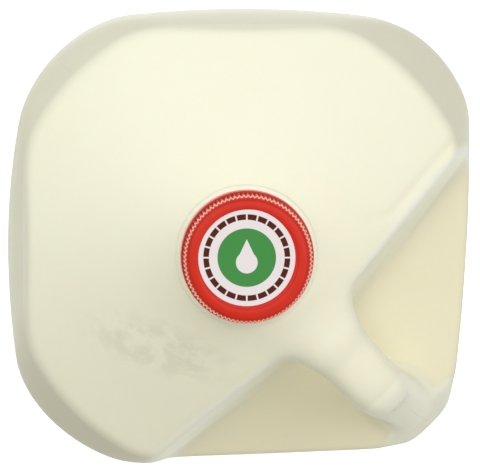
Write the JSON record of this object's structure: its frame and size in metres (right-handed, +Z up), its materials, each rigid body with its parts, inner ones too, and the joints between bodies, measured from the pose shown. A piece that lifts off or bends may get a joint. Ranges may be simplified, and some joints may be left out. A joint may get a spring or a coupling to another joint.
{
  "type": "milk jug",
  "caption": "Full plastic milk jug with a squarish body, a sloping shoulder, a hollow corner handle over a finger recess, and a ribbed red screw cap with a round label.",
  "frame": {"origin": "centre of the base, on the plane the jug stands on, below the neck", "axes": "+Z up through the neck and the cap; +X and -Y point out of the two flat sides that meet at the handle's corner"},
  "size_m": [0.1514, 0.146, 0.254],
  "materials": {
    "jug_plastic": "milk-white blow-moulded plastic with a soft sheen",
    "cap_plastic": "red moulded plastic with a satin gloss",
    "label": "printed paper label with a faint pink cast"
  },
  "bodies": {
    "root": {"jug": "jug_plastic", "cap": "cap_plastic", "cap_ring": "cap_plastic", "cap_label": "label"}
  },
  "joints": []
}
